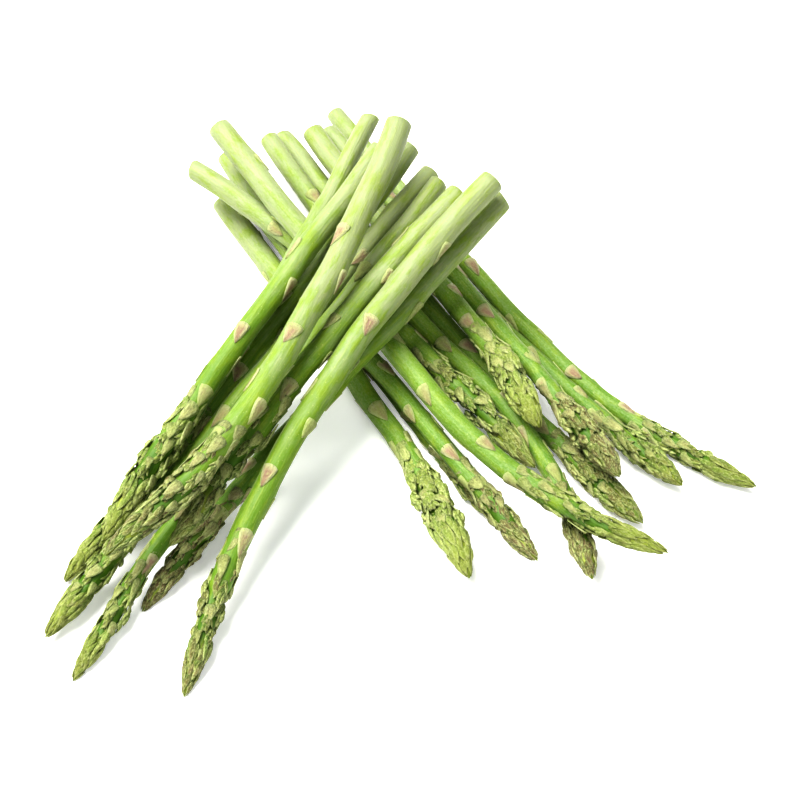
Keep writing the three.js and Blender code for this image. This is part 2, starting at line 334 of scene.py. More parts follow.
# How fine the patterns of the skin and the flesh are: grains to the millimetre, and how broken up they are.
STREAK_GRAIN = (2.2, 2.2, 0.07)
STREAK_DETAIL = 3.0
MOTTLE_GRAIN = (0.35, 0.35, 0.12)
MOTTLE_DETAIL = 4.0
MOTTLE_ROUGH = 0.6
SPECK_GRAIN = 0.55
CRUMPLE_GRAIN = (1.8, 1.8, 1.1)
CRUMPLE_DETAIL = 4.0
CRUMPLE_ROUGH = 0.65
CRUMPLE_SWIRL = 0.6
STRING_GRAIN = 1.3

# The skin's greens, from the butt at 0 to the tip at 1, and what is laid over them. The flesh's tones run
# from the end of a string, at 0, to the flesh between.
SKIN_GREENS = [
    (0.0, (0.245, 0.285, 0.14, 1)),
    (0.14, (0.19, 0.258, 0.088, 1)),
    (0.34, (0.125, 0.222, 0.018, 1)),
    (0.6, (0.082, 0.18, 0.008, 1)),
    (1.0, (0.05, 0.135, 0.006, 1)),
]
SUNNY_YELLOW = (0.19, 0.265, 0.01, 1)
LINE_GREEN = (0.32, 0.38, 0.06, 1)
BLOOM_WHITE = (0.32, 0.40, 0.20, 1)
SPECK_GREEN = (0.38, 0.41, 0.13, 1)
# Painted shade: the dark green painted on the core where the head's scales cover it.
PAINTED_SHADE_GREEN = (0.05, 0.12, 0.004, 1)
CORE_TIP_GREEN = (0.22, 0.27, 0.04, 1)
FLESH_TONES = [
    (0.0, (0.22, 0.27, 0.08, 1)),
    (0.3, (0.42, 0.47, 0.22, 1)),
    (1.0, (0.50, 0.54, 0.30, 1)),
]
RIND_GREEN = (0.20, 0.28, 0.07, 1)

# Each turns a range of what is read, its first two numbers, into a range of what it does, its last two.
MOTTLE_SHIFTS = (0.3, 0.7, -0.15, 0.15)
SUNNY_SHOWS = (0.48, 0.66, 0.0, 0.65)
LINES_SHOW = (0.45, 0.75, 0.0, 0.35)
BLOOM_SHOWS = (0.44, 0.64, 0.02, 0.3)
SPECKS_SHOW = (0.16, 0.08, 0.0, 0.4)
PAINTED_SHADE_UP_HEAD = (0.25, 0.45, 0.0, 0.8)
LIGHT_UP_HEAD = (0.6, 0.7, 0.0, 1.0)
RIND_SHOWS = (0.72, 0.98, 0.0, 0.8)
PALE_REACH = 0.4
MOTTLE_RELIEF = 2.5
MIX_SHARE = 0
MIX_UNDER = 6
MIX_OVER = 7
MIX_COLOUR = 2


def into_edit(piece, mode):
    """Opens one piece alone for editing, with nothing on it selected."""
    bpy.ops.object.select_all(action="DESELECT")
    bpy.context.view_layer.objects.active = piece
    piece.select_set(True)
    bpy.ops.object.mode_set(mode="EDIT")
    bpy.ops.mesh.select_mode(type=mode)
    bpy.ops.mesh.select_all(action="DESELECT")
    return bmesh.from_edit_mesh(piece.data)


def done_edit(piece):
    """Closes the editing and shades the piece smooth."""
    bpy.ops.object.mode_set(mode="OBJECT")
    bpy.ops.object.select_all(action="DESELECT")
    piece.data.polygons.foreach_set("use_smooth", np.ones(len(piece.data.polygons), dtype=bool))


def own_mesh_copy(master, name):
    copy = master.copy()
    copy.data = master.data.copy()
    copy.name = name
    bpy.context.scene.collection.objects.link(copy)
    return copy


def corners_of(piece):
    flat = np.empty(len(piece.data.vertices) * 3)
    piece.data.vertices.foreach_get("co", flat)
    return flat.reshape(-1, 3)


def set_corners(piece, points):
    piece.data.vertices.foreach_set("co", np.ascontiguousarray(points, dtype=np.float32).ravel())
    piece.data.update()


def note(piece, name, values):
    """Keeps a number, or a place, for each point of a piece, for its material to read."""
    values = np.asarray(values, dtype=np.float32)
    is_place = values.ndim == 2
    field = piece.data.attributes.new(name, "FLOAT_VECTOR" if is_place else "FLOAT", "POINT")
    field.data.foreach_set("vector" if is_place else "value", values.ravel())


def note_all_over(piece, name, value):
    note(piece, name, np.full(len(piece.data.vertices), value))


def reading(tree, name, output="Fac"):
    """What the points of a piece note under this name."""
    return node_of(tree, "ShaderNodeAttribute", attribute_name=name).outputs[output]


def ranged(tree, value, low, high, to_low=0.0, to_high=1.0):
    inputs = {"Value": value, "From Min": low, "From Max": high, "To Min": to_low, "To Max": to_high}
    return node_of(tree, "ShaderNodeMapRange", inputs).outputs[0]


def blended(tree, share, under, over):
    node = node_of(tree, "ShaderNodeMix", data_type="RGBA")
    fill_in(tree, node, {MIX_SHARE: share, MIX_UNDER: under, MIX_OVER: over})
    return node.outputs[MIX_COLOUR]


def graded(tree, value, stops):
    """The colours of the stops, one running into the next as the value rises."""
    node = node_of(tree, "ShaderNodeValToRGB", {"Fac": value})
    elements = node.color_ramp.elements
    while len(elements) < len(stops):
        elements.new(stops[-1][0])
    for element, (place, colour) in zip(elements, stops):
        element.position = place
        element.color = colour
    return node.outputs["Color"]


def grain_noise(tree, place, grain, **inputs):
    stretched = node_of(tree, "ShaderNodeMapping", {"Vector": place, "Scale": grain}).outputs[0]
    return node_of(tree, "ShaderNodeTexNoise", {"Vector": stretched, "Scale": 1.0, **inputs}).outputs["Fac"]


def grain_dots(tree, place, grain):
    return node_of(tree, "ShaderNodeTexVoronoi", {"Vector": place, "Scale": grain}).outputs["Distance"]


def raised_by(tree, height, strength, depth):
    """The lie of a surface that a height roughens."""
    bump = node_of(tree, "ShaderNodeBump", {"Strength": strength, "Distance": depth, "Height": height})
    return bump.outputs[0]


def grain_group():
    """Streaks along the spear, a soft mottle, specks and crumples, from the place that each point notes."""
    group = bpy.data.node_groups.new("spear_grain", "ShaderNodeTree")
    place = reading(group, "grain", "Vector")
    patterns = {
        "Streaks": grain_noise(group, place, STREAK_GRAIN, Detail=STREAK_DETAIL),
        "Mottle": grain_noise(group, place, MOTTLE_GRAIN, Detail=MOTTLE_DETAIL, Roughness=MOTTLE_ROUGH),
        "Specks": grain_dots(group, place, SPECK_GRAIN),
        "Crumple": grain_noise(group, place, CRUMPLE_GRAIN, Detail=CRUMPLE_DETAIL, Roughness=CRUMPLE_ROUGH,
                               Distortion=CRUMPLE_SWIRL),
    }
    for name in patterns:
        group.interface.new_socket(name, in_out="OUTPUT", socket_type="NodeSocketFloat")
    fill_in(group, group.nodes.new("NodeGroupOutput"), patterns)
    return group


def skin_material():
    """Green that deepens towards the tip, with a yellow mottle, fine pale lines, wax and pale specks. Painted
    shade makes it dark where the scales of the head cover it, and it is light again at the very tip."""
    material, tree, shader = new_material("asparagus_skin")
    grain = node_of(tree, "ShaderNodeGroup", node_tree=SPEAR_GRAIN).outputs
    held_back = worked_out(tree, "MULTIPLY", reading(tree, "pale"), PALE_REACH)
    shifted = worked_out(tree, "SUBTRACT", reading(tree, "along"), held_back)
    uneven = worked_out(tree, "ADD", shifted, ranged(tree, grain["Mottle"], *MOTTLE_SHIFTS))
    green = graded(tree, uneven, SKIN_GREENS)
    sunny = blended(tree, ranged(tree, grain["Mottle"], *SUNNY_SHOWS), green, SUNNY_YELLOW)
    lined = blended(tree, ranged(tree, grain["Streaks"], *LINES_SHOW), sunny, LINE_GREEN)
    bloom = ranged(tree, grain["Crumple"], *BLOOM_SHOWS)
    waxed = blended(tree, worked_out(tree, "MULTIPLY", bloom, reading(tree, "waxy")), lined, BLOOM_WHITE)
    spotted = blended(tree, ranged(tree, grain["Specks"], *SPECKS_SHOW), waxed, SPECK_GREEN)
    up_head = reading(tree, "up_head")
    # Painted shade on the core under the scales of the head.
    painted_shade = blended(tree, ranged(tree, up_head, *PAINTED_SHADE_UP_HEAD), spotted, PAINTED_SHADE_GREEN)
    relief = worked_out(tree, "MULTIPLY_ADD", grain["Mottle"], MOTTLE_RELIEF, grain["Streaks"])
    fill_in(tree, shader, {
        "Base Color": blended(tree, ranged(tree, up_head, *LIGHT_UP_HEAD), painted_shade, CORE_TIP_GREEN),
        "Roughness": 0.5,
        "Specular IOR Level": 0.3,
        "Sheen Weight": 0.05,
        "Sheen Roughness": 0.35,
        "Subsurface Weight": 0.2,
        "Subsurface Radius": (0.0012, 0.002, 0.0004),
        "Subsurface Scale": 1.0,
        "Normal": raised_by(tree, relief, strength=0.4, depth=0.0005),
    })
    return material


def cut_material():
    """Pale flesh with a darker dot where each of its strings ends, and green just inside the skin."""
    material, tree, shader = new_material("asparagus_cut_flesh")
    strings = grain_dots(tree, reading(tree, "grain", "Vector"), STRING_GRAIN)
    flesh = graded(tree, strings, FLESH_TONES)
    fill_in(tree, shader, {
        "Base Color": blended(tree, ranged(tree, reading(tree, "outward"), *RIND_SHOWS), flesh, RIND_GREEN),
        "Roughness": 0.6,
        "Normal": raised_by(tree, strings, strength=0.4, depth=0.0002),
    })
    return material


bpy.ops.mesh.primitive_cylinder_add(vertices=STEM_SIDES, radius=1, depth=1, location=(0, 0, 0.5))
stem_blank = bpy.context.object
stem_blank.name = "stem_blank"
bpy.ops.object.transform_apply(location=True, rotation=True, scale=True)
shape = into_edit(stem_blank, "EDGE")
for edge in shape.edges:
    edge.select = abs(edge.verts[0].co.z - edge.verts[1].co.z) > UPRIGHT
bpy.ops.mesh.subdivide_edgering(number_cuts=STEM_RINGS, interpolation="LINEAR")
bpy.ops.mesh.select_all(action="DESELECT")
bpy.ops.mesh.select_mode(type="FACE")
shape = bmesh.from_edit_mesh(stem_blank.data)
for face in shape.faces:
    face.select = face.normal.z < -UPRIGHT
for inset in CUT_INSETS:
    bpy.ops.mesh.inset(thickness=inset)
bpy.ops.mesh.select_all(action="DESELECT")
shape = bmesh.from_edit_mesh(stem_blank.data)
for face in shape.faces:
    face.select = face.normal.z > UPRIGHT
bpy.ops.mesh.merge(type="COLLAPSE")
done_edit(stem_blank)
SPEAR_GRAIN = grain_group()
stem_blank.data.materials.append(skin_material())
stem_blank.data.materials.append(cut_material())


def core_radius(spear, t):
    """The flesh under the scales."""
    up_head = along_head(spear, t)
    neck = stem_radius(spear, 1 - spear["head"] / spear["reach"])
    shoulder = np.minimum(neck, spear["wide"] / 2 * CORE_TIGHT)
    share = mix(CORE_TIGHT, CORE_OPEN, spear["open"])
    near_tip = np.clip((up_head - CORE_TIP_START) / CORE_TIP_BLEND, 0, 1)
    thin = outer_radius(spear, t) * mix(share, CORE_TIP, near_tip)
    thin = np.where(up_head < SWELL_END, mix(neck, shoulder, up_head / SWELL_END), thin)
    core = np.minimum(thin, neck) * (1 - np.maximum(up_head, 0) ** CORE_END)
    return np.where(up_head <= 0, stem_radius(spear, t), core)


def stem_of(spear, joints, chance):
    """A stem that stands on its butt and swells a little under the foot of each leaf."""
    stem = own_mesh_copy(stem_blank, spear["node"] + "_stem")
    points = corners_of(stem)
    t = points[:, 2].copy()
    turn = np.arctan2(points[:, 1], points[:, 0])
    outward = np.hypot(points[:, 0], points[:, 1])
    on_cut = (t < AT_BUTT) & (outward < INSIDE_RIM)
    rim = (t < AT_BUTT) & (outward >= INSIDE_RIM)
    phase = chance.random() * PHASE_SPAN
    waves = 2 + np.sin(RIBS * turn + phase + RIB_TWIST * t) + np.sin(BROAD_RIBS * turn - phase)
    ribs = 1 - RIB_RELIEF * waves
    z = t * spear["reach"]
    radius = core_radius(spear, t) * ribs * outward * (1 - BUTT_PINCH * np.exp(-z / BUTT_LONG))
    for place, side in joints:
        up_joint = np.exp(-(((z - place + JOINT_LONG) / JOINT_LONG) ** 2))
        swell = up_joint * np.maximum(0, np.cos(turn - side)) ** 2
        radius += JOINT_RISE * swell * (t > 0)
    butt = stem_radius(spear, 0)
    z[rim] = CUT_EDGE
    radius[on_cut] = (butt * (1 - BUTT_PINCH) - CUT_INSET) * outward[on_cut]
    z[on_cut] += CUT_HOLLOW * (1 - outward[on_cut])
    slant_way, slant_phase = spear["phase"]
    slant = SLANT_MOST * (slant_phase / math.tau) ** 2
    z += slant * (butt + radius * np.cos(turn - slant_way)) * np.exp(-z / BUTT_LONG)
    points = np.stack([radius * np.cos(turn), radius * np.sin(turn), z], axis=1)
    set_corners(stem, points)
    note(stem, "outward", outward)
    note(stem, "up_head", np.clip(along_head(spear, z / spear["reach"]), 0, 1))
    note(stem, "grain", points + np.array([0, 0, chance.random() * GRAIN_SHIFT]))
    note_all_over(stem, "chance", chance.random())
    cut = [all(on_cut[i] for i in face.vertices) for face in stem.data.polygons]
    stem.data.polygons.foreach_set("material_index", np.where(cut, CUT_SLOT, SKIN_SLOT))
    return stem


# ---- The scale leaves -------------------------------------------------------------------------------
# A thin triangular leaf at each joint. It clasps the stem with a broad base on the butt's side and is pressed
# flat with its point towards the tip. On the stem it has dried to mauve with a pale edge, and between the
# buds of the head it is still half green. It has grown on, so nothing fixes it.
LEAF_COLUMNS = 4
LEAF_ROWS = 6
LEAF_PLACES = [0, 0.12, 0.4, 0.7, 0.9, 1]
LEAF_WIDTHS = [0.95, 1, 0.82, 0.52, 0.24, 0.04]
LEAF_THICK = 0.3
LEAF_ABOVE = 0.6
HEEL_SWEEP = 0.18
LEAF_OFF = 0.3
HEEL_RISE = 0.22
HEEL_CUP = 0.15
TIP_CLASP = 0.3
LEAF_LONG = (6.5, 9.5)
LEAF_BROAD = (1.2, 1.6)
LEAF_HIGH = 1
LEAF_FORWARD = 1
LEAF_TWIST = 0.12
LEAF_LEAN = (-0.05, 0.2)
LEAF_CURL = 0.25
LEAF_DRY = 1.0
LEAST_ROUND = 1.2
FULL_TURN = 360
GOLDEN_ANGLE = 137.5
FIRST_SCALE = 2.5
FIRST_STEP = 1.2
STEP_GROWTH = 1.115
NECK_FROM = 0.85
BARE_BUTT = 20
SCATTER = 16
SCATTER_SEED = 7
SCATTER_FACTOR = 16807
SCATTER_CYCLE = 2147483647

# The greens and the purples run from a scale's foot at 0 to its point at 1. Their dark foot is partly the
# scale's own deeper green and partly painted shade where the scales overlap.
SCALE_GREENS = [
    (0.0, (0.03, 0.08, 0.008, 1)),
    (0.38, (0.10, 0.18, 0.022, 1)),
    (0.7, (0.31, 0.39, 0.075, 1)),
    (1.0, (0.54, 0.60, 0.22, 1)),
]
SCALE_PURPLES = [
    (0.0, (0.06, 0.06, 0.018, 1)),
    (0.5, (0.16, 0.105, 0.055, 1)),
    (1.0, (0.24, 0.155, 0.09, 1)),
]
MID_GREEN = (0.11, 0.20, 0.03, 1)
LIME_GREEN = (0.38, 0.45, 0.11, 1)
# Pale rim: partly the scales' own pale margin, partly painted highlight where the rims catch the light.
RIM_PALE_AND_HIGHLIGHT = (0.55, 0.61, 0.27, 1)
# Painted shade: the dark green painted into the creases between scales.
CREASE_SHADE_GREEN = (0.022, 0.06, 0.006, 1)
DRY_MAUVE = (0.34, 0.225, 0.16, 1)
DRY_EDGE = (0.50, 0.54, 0.28, 1)
HALF_DRY_GREEN = (0.33, 0.41, 0.13, 1)
VEIN_PALE = (0.40, 0.43, 0.14, 1)
# Painted shade: the dark green painted into the low folds of the crumpled relief.
FOLD_SHADE_GREEN = (0.05, 0.095, 0.012, 1)
# Painted highlight: the pale colour painted on the high ridges of the crumpled relief.
RIDGE_HIGHLIGHT = (0.52, 0.58, 0.26, 1)
TIP_YELLOW = (0.33, 0.36, 0.06, 1)

# Each turns a range of what is read into a range of what it does, as for the skin.
FOOT_TO_POINT = (-1.0, 1.0, 0.0, 1.0)
UNEVEN = (0.3, 0.7, -0.3, 0.3)
BLUSH_SHOWS = (0.8, 1.75, 0.0, 1.0)
MID_GREEN_SHOWS = (0.65, 0.1, 0.0, 0.65)
LIME_SHOWS = (0.3, 0.0, 0.0, 0.4)
LOW_DOWN = (0.85, 0.55, 0.0, 1.0)
NEAR_POINT = (0.1, 0.7, 0.0, 1.0)
IN_CREASE_SHADE = (0.36, -0.05, 0.0, 1.0)
CREASE_SHADE_FADES = (0.98, 0.88, 0.35, 0.85)
PALE_AT_EDGE = (0.35, 0.95, 0.0, 1.0)
HALF_DRY_SHOWS = (0.25, 0.85, 0.0, 0.8)
VEINS_SHOW = (0.48, 0.66, 0.0, 0.5)
LESS_WHEN_DRY = (0.0, 1.0, 1.0, 0.4)
FOLD_SHADE_SHOWS = (0.49, 0.35, 0.0, 0.6)
RIDGE_HIGHLIGHT_SHOWS = (0.52, 0.64, 0.0, 0.7)
NEAR_TIP = (0.88, 1.0, 0.0, 0.45)
UNBLUSHED = (0.6, 0.1, 0.0, 1.0)
VEINS_ACROSS = 5.0
VEINS_AHEAD = 0.8
VEINS_APART = 40.0
VEIN_SCALE = 1.6
VEIN_DETAIL = 3.0
BLUSH_WEIGHT = 1.5
RIM_AND_HIGHLIGHT_MOST = 0.8
HEEL_EDGE = -0.95


def scale_material():
    """Green, or blushed purple, with painted shade in the creases and folds, painted highlight on the ridges,
    and edges pale partly of their own and partly by painted highlight. A dry leaf is mauve and papery.
    """
    material, tree, shader = new_material("asparagus_scale")
    grain = node_of(tree, "ShaderNodeGroup", node_tree=SPEAR_GRAIN).outputs
    leaf = node_of(tree, "ShaderNodeSeparateXYZ", {"Vector": reading(tree, "leaf", "Vector")})
    across, ahead, above = leaf.outputs
    chance = reading(tree, "chance")
    blush = reading(tree, "blush")
    dry = reading(tree, "dry")
    along = reading(tree, "along")

    def times(a, b):
        return worked_out(tree, "MULTIPLY", a, b)

    def over(below, colour, share):
        return blended(tree, share, below, colour)

    veins_at = node_of(tree, "ShaderNodeCombineXYZ", {
        "X": times(across, VEINS_ACROSS),
        "Y": times(ahead, VEINS_AHEAD),
        "Z": times(chance, VEINS_APART),
    }).outputs[0]
    vein_inputs = {"Vector": veins_at, "Scale": VEIN_SCALE, "Detail": VEIN_DETAIL}
    veins = node_of(tree, "ShaderNodeTexNoise", vein_inputs).outputs["Fac"]

    length = ranged(tree, ahead, *FOOT_TO_POINT)
    varied = worked_out(tree, "ADD", chance, ranged(tree, grain["Mottle"], *UNEVEN))
    blushed = ranged(tree, worked_out(tree, "ADD", times(blush, BLUSH_WEIGHT), varied), *BLUSH_SHOWS)
    fresh = over(graded(tree, length, SCALE_GREENS), MID_GREEN, ranged(tree, varied, *MID_GREEN_SHOWS))
    lime = over(fresh, LIME_GREEN, ranged(tree, blush, *LIME_SHOWS))
    fleshy = over(lime, graded(tree, length, SCALE_PURPLES), blushed)
    # The pale rim near each scale's point, partly its own margin and partly painted highlight.
    rim = times(ranged(tree, above, *LOW_DOWN), ranged(tree, length, *NEAR_POINT))
    rimmed_and_highlit = over(fleshy, RIM_PALE_AND_HIGHLIGHT, times(rim, RIM_AND_HIGHLIGHT_MOST))
    # Painted shade in the creases, low on each scale, less of it towards the tip.
    crease_shade = times(ranged(tree, above, *IN_CREASE_SHADE), ranged(tree, along, *CREASE_SHADE_FADES))
    crease_shaded = over(rimmed_and_highlit, CREASE_SHADE_GREEN, crease_shade)

    sides = worked_out(tree, "ABSOLUTE", across)
    edge = worked_out(tree, "MAXIMUM", sides, times(ahead, HEEL_EDGE))
    mauve = blended(tree, ranged(tree, edge, *PALE_AT_EDGE), DRY_MAUVE, DRY_EDGE)
    papery = over(mauve, HALF_DRY_GREEN, ranged(tree, varied, *HALF_DRY_SHOWS))

    toned = over(crease_shaded, papery, dry)
    veined = over(toned, VEIN_PALE, ranged(tree, veins, *VEINS_SHOW))
    crumpled = ranged(tree, dry, *LESS_WHEN_DRY)
    # Painted shade in the folds, where the crumple that also bumps the surface is low.
    fold_shaded = over(veined, FOLD_SHADE_GREEN, times(ranged(tree, grain["Crumple"], *FOLD_SHADE_SHOWS), crumpled))
    # Painted highlight on the ridges, where the crumple that also bumps the surface is high.
    ridge_highlit = over(fold_shaded, RIDGE_HIGHLIGHT, times(ranged(tree, grain["Crumple"], *RIDGE_HIGHLIGHT_SHOWS), crumpled))
    yellowed = times(ranged(tree, along, *NEAR_TIP), ranged(tree, blush, *UNBLUSHED))
    relief = worked_out(tree, "ADD", veins, grain["Crumple"])
    fill_in(tree, shader, {
        "Base Color": over(ridge_highlit, TIP_YELLOW, yellowed),
        "Roughness": 0.55,
        "Specular IOR Level": 0.3,
        "Subsurface Weight": 0.1,
        "Subsurface Radius": (0.0008, 0.001, 0.0003),
        "Subsurface Scale": 1.0,
        "Normal": raised_by(tree, relief, strength=0.9, depth=0.0009),
    })
    return material


bpy.ops.mesh.primitive_grid_add(x_subdivisions=LEAF_COLUMNS, y_subdivisions=LEAF_ROWS, size=2,
                                location=(0, 0, 0))
leaf_blank = bpy.context.object
leaf_blank.name = "leaf_blank"
# Each point keeps the place that it had on the plain blank, and its material reads that.
note(leaf_blank, "leaf", corners_of(leaf_blank) + np.array([0, 0, LEAF_ABOVE]))
shape = into_edit(leaf_blank, "VERT")
for corner in shape.verts:
    u = corner.co.x
    v = (corner.co.y + 1) / 2
    corner.co.y += HEEL_SWEEP * (1 - v) * u * u
    corner.co.x *= float(np.interp(v, LEAF_PLACES, LEAF_WIDTHS))
    heel = HEEL_RISE * (1 - v) ** 3 + HEEL_CUP * (u * (1 - v)) ** 2
    corner.co.z = LEAF_OFF + heel - TIP_CLASP * u * u * v
bpy.ops.mesh.select_all(action="SELECT")
bpy.ops.mesh.extrude_region_move(TRANSFORM_OT_translate={"value": (0, 0, -LEAF_THICK)})
bpy.ops.mesh.select_all(action="SELECT")
bpy.ops.mesh.normals_make_consistent(inside=False)
done_edit(leaf_blank)
SCALE = scale_material()
leaf_blank.data.materials.append(SCALE)


def scatter_from(seed):
    """A repeatable run of numbers between 0 and 1."""
    while True:
        seed = seed * SCATTER_FACTOR % SCATTER_CYCLE
        yield seed / SCATTER_CYCLE


def stem_joints(spear, scatter):
    """Where the leaves of the stem stand: from the neck down, closer together near the head."""
    joints = []
    from_tip = FIRST_SCALE
    step = FIRST_STEP
    angle = FULL_TURN * next(scatter)
    while from_tip < spear["reach"] - BARE_BUTT:
        turn = math.radians(angle + SCATTER * (next(scatter) - 0.5))
        if from_tip > spear["head"] * NECK_FROM:
            joints.append((spear["reach"] - from_tip, turn))
        angle += GOLDEN_ANGLE
        from_tip += step
        step *= STEP_GROWTH
    return joints


def wrap(spear, blank, tone, place, turn, long, broad, high, ground,
         twist=0.0, lean=0.0, roll=0.0, curl=0.0, dry=0.0):
    """A copy of a blank wrapped round its spear, which stands on its butt.

    place is the blank's middle along the spear, turn the side it is on, and ground gives the radius under it.
    lean is how far its tip stands off, curl how far it swings sideways, and roll how far its sides tip. tone
    is the number that its colour varies by, and dry how papery it is.
    """
    piece = own_mesh_copy(blank, spear["node"] + "_leaf")
    local = corners_of(piece)
    across = local[:, 0] * broad / 2 + curl * (local[:, 1] + 1) ** 2
    ahead = local[:, 1] * long / 2
    swung = across * math.cos(twist) - ahead * math.sin(twist)
    z = place + (across * math.sin(twist) + ahead * math.cos(twist))
    z = np.clip(z, 0, spear["reach"])
    radius = ground(z / spear["reach"]) + local[:, 2] * high
    radius = np.maximum(radius + lean * local[:, 1] + roll * local[:, 0], 0)
    round_at = max(float(ground(np.array(place / spear["reach"]))), LEAST_ROUND)
    angle = turn + swung / round_at
    points = np.stack([radius * np.cos(angle), radius * np.sin(angle), z], axis=1)
    set_corners(piece, points)
    note(piece, "grain", points + tone * GRAIN_SHIFT)
    note_all_over(piece, "chance", tone)
    note_all_over(piece, "dry", dry)
    return piece


def stem_leaves(spear, joints, chance):
    pieces = []
    for place, turn in joints:
        size = float(stem_radius(spear, place / spear["reach"]))
        long = chance.uniform(*LEAF_LONG)
        tone = chance.random()
        broad = size * chance.uniform(*LEAF_BROAD)
        pieces.append(wrap(
            spear, leaf_blank, tone, place + LEAF_FORWARD, turn, long, broad, LEAF_HIGH,
            lambda t: stem_radius(spear, t),
            twist=chance.uniform(-LEAF_TWIST, LEAF_TWIST),
            lean=chance.uniform(*LEAF_LEAN),
            curl=chance.uniform(-LEAF_CURL, LEAF_CURL),
            dry=LEAF_DRY,
        ))
    return pieces


# ---- The head: its buds and the closed tip ----------------------------------------------------------
# Fleshy pointed scales, plump in the middle, pressed together like the scales of a cone, and grown on the
# core. Long ones close over the tip. Below them each side bud is a bunch of short ones on a body of its own,
# mostly with a scale leaf over its foot.
SCALE_SIDES = 8
SCALE_RINGS = 6
SCALE_TAPER = 0.5
UNDERSIDE = 0.5
USUAL_HEAD = 48
USUAL_WIDE = 12

# The closed tip. Here and below, a pair is what a size runs from and to, from the tip down, or the least and
# the most that chance gives it.
TIP_ZONE_TIGHT = 0.36
TIP_ZONE_OPEN = 0.17
TIP_SCALES = 62
TIP_FIRST = 0.3
TIP_GAP = 0.1
TIP_SPREAD = 1.2
TIP_LONG = (4.5, 8.0)
TIP_BROAD = (0.8, 0.44)
TIP_HIGH = (0.7, 1.2)
TIP_FLAT = 5
TIP_SIZES = (0.75, 1.25)
TIP_LEVELS = (0.82, 1.08)
TIP_SCATTER = 20
TIP_TWIST = 0.3
TIP_LEAN = 0.8
TIP_ROLL = 0.5

# The side buds, and the body in each.
BUDS_TIGHT = 27
BUDS_OPEN = 18
BUD_FIRST = 0.5
BUD_OVERLAP = 0.8
CROWDING_TIGHT = 1.0
CROWDING_OPEN = 1.2
BUD_LONG = (5.5, 8.5)
BUD_BROAD = (4.2, 6.2)
BUD_LONGER = (0.85, 1.2)
BUD_BROADER = (0.8, 1.2)
BUD_START = 60
BUD_SCATTER = 14
BUD_LEVELS = (0.86, 1.1)
BUD_BASE_LEAST = 1.5
BUD_SKIN = 1.0
BUD_LEAST = 0.3
BODY_HIGH = 1.5
BODY_LONG = 0.85
BODY_BROAD = 0.7

# The almonds heaped over a bud.
BUD_SPLAY = (0.1, 0.6)
BUD_ROWS = (-1, 0, 1)
BUD_COLUMNS = (-1.5, -0.5, 0.5, 1.5)
COLUMN_STEP = 0.44
COLUMN_SCATTER = 0.16
ROW_STEP = 0.33
ROW_ARCH = 0.22
ROW_SCATTER = 0.6
MOUND = 2.1
MOUND_ROWS = 0.4
MOUND_VARIES = (0.7, 1.3)
ALMOND_HIGH = (0.2, 0.32)
ALMOND_LONG = (0.4, 0.75)
ALMOND_BROAD = (0.22, 0.36)
ALMOND_TONE = 0.5
ALMOND_FAN = 0.5
ALMOND_TWIST = 0.35
ALMOND_LEAN = (-0.3, 1)
ALMOND_ROLL = (0.2, 0.7)

# The scale leaves over the feet of the buds.
HEAD_LEAF_CHANCE = (0.6, 1)
HEAD_LEAF_LONG = (5, 8.5)
HEAD_LEAF_LONGER = (0.8, 1.15)
HEAD_LEAF_BACK = 0.45
HEAD_LEAF_SWING = 0.2
HEAD_LEAF_BROAD = (0.6, 0.95)
HEAD_LEAF_HIGH = 1.1
HEAD_LEAF_TWIST = 0.3
HEAD_LEAF_LEAN = (0.2, 0.4)
HEAD_LEAF_DRY = 0.4
OVER_BUD_MOST = 0.97
OVER_BUD_SUNK = 0.5

bpy.ops.mesh.primitive_uv_sphere_add(segments=SCALE_SIDES, ring_count=SCALE_RINGS, radius=1,
                                     location=(0, 0, 0), rotation=(-math.pi / 2, 0, 0))
scale_blank = bpy.context.object
scale_blank.name = "scale_blank"
bpy.ops.object.transform_apply(location=False, rotation=True, scale=False)
note(scale_blank, "leaf", corners_of(scale_blank))
shape = into_edit(scale_blank, "VERT")
for corner in shape.verts:
    v = (corner.co.y + 1) / 2
    taper = 1 - SCALE_TAPER * v * v
    corner.co.x *= taper
    corner.co.z *= taper if corner.co.z > 0 else UNDERSIDE * taper
done_edit(scale_blank)
scale_blank.data.materials.append(SCALE)


def closed_tip(spear, zone, chance):
    """Single long scales round the core, from the very tip down to the end of the zone."""
    pieces = []
    for i in range(TIP_SCALES):
        share = (i + TIP_FIRST) / TIP_SCALES
        from_tip = TIP_GAP + zone * share**TIP_SPREAD
        long = mix(*TIP_LONG, share) * chance.uniform(*TIP_SIZES) * spear["head"] / USUAL_HEAD
        place = spear["reach"] - from_tip - long / 2
        width = float(outer_radius(spear, min(place / spear["reach"], 1)))
        broad = width * mix(*TIP_BROAD, share) * chance.uniform(*TIP_SIZES)
        high = mix(*TIP_HIGH, share) * width / TIP_FLAT
        level = chance.uniform(*TIP_LEVELS)
        tone = chance.random()
        turn = math.radians(i * GOLDEN_ANGLE + chance.uniform(-TIP_SCATTER, TIP_SCATTER))
        pieces.append(wrap(
            spear, scale_blank, tone, place, turn, long, broad, high,
            lambda t, level=level, high=high: outer_radius(spear, t) * level - high,
            twist=chance.uniform(-TIP_TWIST, TIP_TWIST),
            lean=share * chance.uniform(0, TIP_LEAN),
            roll=share * chance.uniform(-TIP_ROLL, TIP_ROLL),
        ))
    return pieces


